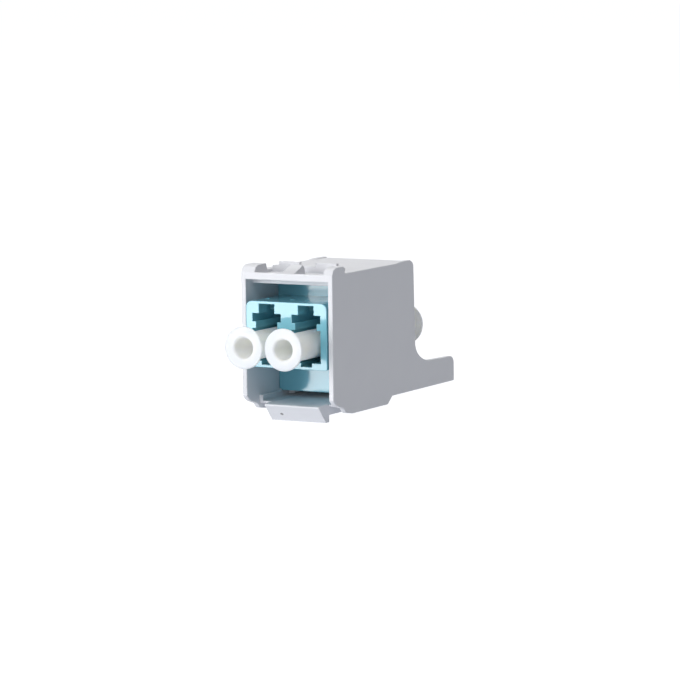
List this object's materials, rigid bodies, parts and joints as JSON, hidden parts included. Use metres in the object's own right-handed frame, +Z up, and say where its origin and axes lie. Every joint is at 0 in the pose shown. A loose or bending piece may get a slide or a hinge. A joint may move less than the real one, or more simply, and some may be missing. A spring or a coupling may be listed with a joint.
{
  "type": "duplex LC fibre optic adapter in a snap-in module housing",
  "caption": "Aqua duplex LC fibre adapter held in a white snap-in module housing with roof lugs, a sprung latch lip and flanged dust caps.",
  "frame": {"origin": "on the housing's front face, halfway between the two ports and on the height of their axes", "axes": "+Y runs along the ports from front to rear, +X across the two ports, +Z up towards the roof with the fixed lugs"},
  "size_m": [0.0144, 0.0428, 0.022],
  "materials": {
    "white_housing_plastic": "fine satin moulded plastic, white",
    "aqua_adapter_plastic": "smooth satin moulded plastic, aqua",
    "white_cap_plastic": "soft semi-gloss moulded plastic, white",
    "white_ceramic": "polished ceramic"
  },
  "bodies": {
    "adapter_module": {"snap_in_housing": "white_housing_plastic", "adapter_front_half": "aqua_adapter_plastic", "adapter_rear_half": "aqua_adapter_plastic", "alignment_sleeve_left": "white_ceramic", "alignment_sleeve_right": "white_ceramic"},
    "front_cap_left_body": {"front_cap_left": "white_cap_plastic"},
    "front_cap_right_body": {"front_cap_right": "white_cap_plastic"},
    "rear_cap_left_body": {"rear_cap_left": "white_cap_plastic"},
    "rear_cap_right_body": {"rear_cap_right": "white_cap_plastic"}
  },
  "joints": [
    {"name": "front_cap_left_pull", "type": "slide", "parent": "adapter_module", "child": "front_cap_left_body", "axis": [0, -1, 0], "range_m": [0, 0.01]},
    {"name": "front_cap_right_pull", "type": "slide", "parent": "adapter_module", "child": "front_cap_right_body", "axis": [0, -1, 0], "range_m": [0, 0.01]},
    {"name": "rear_cap_left_pull", "type": "slide", "parent": "adapter_module", "child": "rear_cap_left_body", "axis": [0, 1, 0], "range_m": [0, 0.01]},
    {"name": "rear_cap_right_pull", "type": "slide", "parent": "adapter_module", "child": "rear_cap_right_body", "axis": [0, 1, 0], "range_m": [0, 0.01]}
  ]
}
